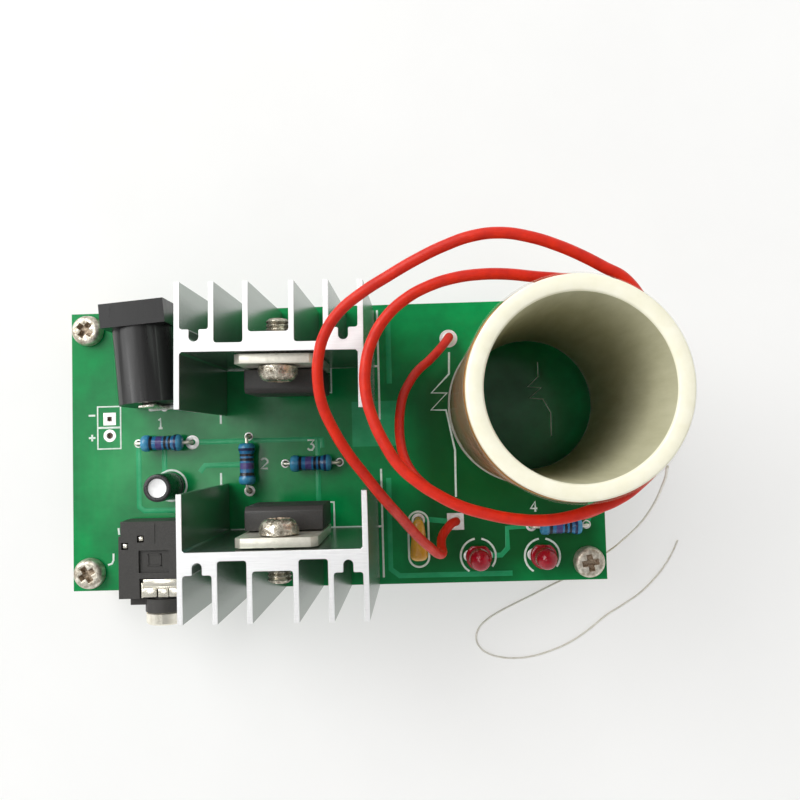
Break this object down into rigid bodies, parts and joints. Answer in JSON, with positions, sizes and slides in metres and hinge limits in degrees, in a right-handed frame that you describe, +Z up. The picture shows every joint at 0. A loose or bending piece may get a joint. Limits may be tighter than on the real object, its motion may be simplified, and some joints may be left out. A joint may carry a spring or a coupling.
{
  "type": "desktop resonant transformer",
  "caption": "Spark-making driver board with two finned heatsinks, a power socket, a sound socket and a tall wound tube inside a loose coil of red wire.",
  "frame": {"origin": "middle of the floor under the board, its jacks and its coil tube, without the two loose wires", "axes": "+X along the board from the sockets to the coil tube, +Y to the edge with the power socket's mouth, +Z up"},
  "size_m": [0.0937, 0.0584, 0.0519],
  "materials": {
    "circuit_board": "glossy green solder mask",
    "brass": "plain turned brass",
    "nickel_steel": "nickel plated, slightly worn",
    "aluminium": "satin extrusion with bright sawn ends",
    "tinned_copper": "dull tin",
    "black_epoxy": "matt moulded",
    "black_plastic": "satin moulded",
    "nickel_contacts": "bright nickel plate",
    "grey_plastic": "matt moulded",
    "blue_lacquer": "painted with colour bands",
    "bright_can": "bright pressed end",
    "black_sleeve": "shrunk sleeve with a pale stripe",
    "mustard_dip": "dipped lacquer",
    "red_epoxy": "clear tinted epoxy",
    "clear_glue": "set glue",
    "ivory_plastic": "plain cut tube",
    "enamelled_copper": "varnished copper wire",
    "clear_film": "clear tape",
    "red_insulation": "satin insulation over a copper core"
  },
  "bodies": {
    "kit": {"circuit_board": "circuit_board", "standoff_front_left": "brass", "standoff_front_right": "brass", "standoff_back_left": "brass", "standoff_back_right": "brass", "board_screw_front_left": "nickel_steel", "board_screw_front_right": "nickel_steel", "board_screw_back_left": "nickel_steel", "board_screw_back_right": "nickel_steel", "upper_transistor_screw": "nickel_steel", "lower_transistor_screw": "nickel_steel", "upper_heatsink": "aluminium", "lower_heatsink": "aluminium", "upper_transistor_tab": "tinned_copper", "lower_transistor_tab": "tinned_copper", "upper_transistor_lead_left": "tinned_copper", "upper_transistor_lead_right": "tinned_copper", "lower_transistor_lead_left": "tinned_copper", "lower_transistor_lead_right": "tinned_copper", "capacitor_lead_left": "tinned_copper", "capacitor_lead_right": "tinned_copper", "lamp_1_lead_left": "tinned_copper", "lamp_1_lead_right": "tinned_copper", "lamp_2_lead_left": "tinned_copper", "lamp_2_lead_right": "tinned_copper", "upper_transistor_case": "black_epoxy", "lower_transistor_case": "black_epoxy", "power_jack_housing": "black_plastic", "power_jack_pin": "nickel_contacts", "power_sleeve_terminal": "nickel_contacts", "power_switch_terminal": "nickel_contacts", "sound_jack_bush": "nickel_contacts", "sound_jack_shell": "nickel_contacts", "sound_tip_post": "nickel_contacts", "sound_ring_post": "nickel_contacts", "sound_sleeve_post": "nickel_contacts", "sound_jack_housing": "grey_plastic", "resistor_1": "blue_lacquer", "resistor_2": "blue_lacquer", "resistor_3": "blue_lacquer", "resistor_4": "blue_lacquer", "capacitor_can": "bright_can", "capacitor_sleeve": "black_sleeve", "film_capacitor": "mustard_dip", "lamp_1_lens": "red_epoxy", "lamp_2_lens": "red_epoxy", "coil_tube_glue": "clear_glue", "coil_tube": "ivory_plastic", "fine_winding": "enamelled_copper", "fine_winding_low_lead": "enamelled_copper", "secondary_lead": "enamelled_copper", "winding_film": "clear_film", "primary_coil": "red_insulation"},
    "power_sleeve_spring": {"power_sleeve_spring": "nickel_contacts"},
    "sound_tip_spring": {"sound_tip_spring": "nickel_contacts"},
    "sound_ring_spring": {"sound_ring_spring": "nickel_contacts"}
  },
  "joints": [
    {"name": "power_sleeve_spring_bend", "type": "hinge", "parent": "kit", "child": "power_sleeve_spring", "pos_m": [-0.02663, 0.01375, 0.0127], "axis": [-0.9968, -0.0802, 0], "range_deg": [0, 8], "stiffness_Nm_per_rad": 0.02},
    {"name": "sound_tip_spring_bend", "type": "hinge", "parent": "kit", "child": "sound_tip_spring", "pos_m": [-0.02754, -0.01129, 0.0127], "axis": [0, 0, -1], "range_deg": [0, 8], "stiffness_Nm_per_rad": 0.01},
    {"name": "sound_ring_spring_bend", "type": "hinge", "parent": "kit", "child": "sound_ring_spring", "pos_m": [-0.02324, -0.01219, 0.0127], "axis": [0, 0, 1], "range_deg": [0, 8], "stiffness_Nm_per_rad": 0.01}
  ]
}
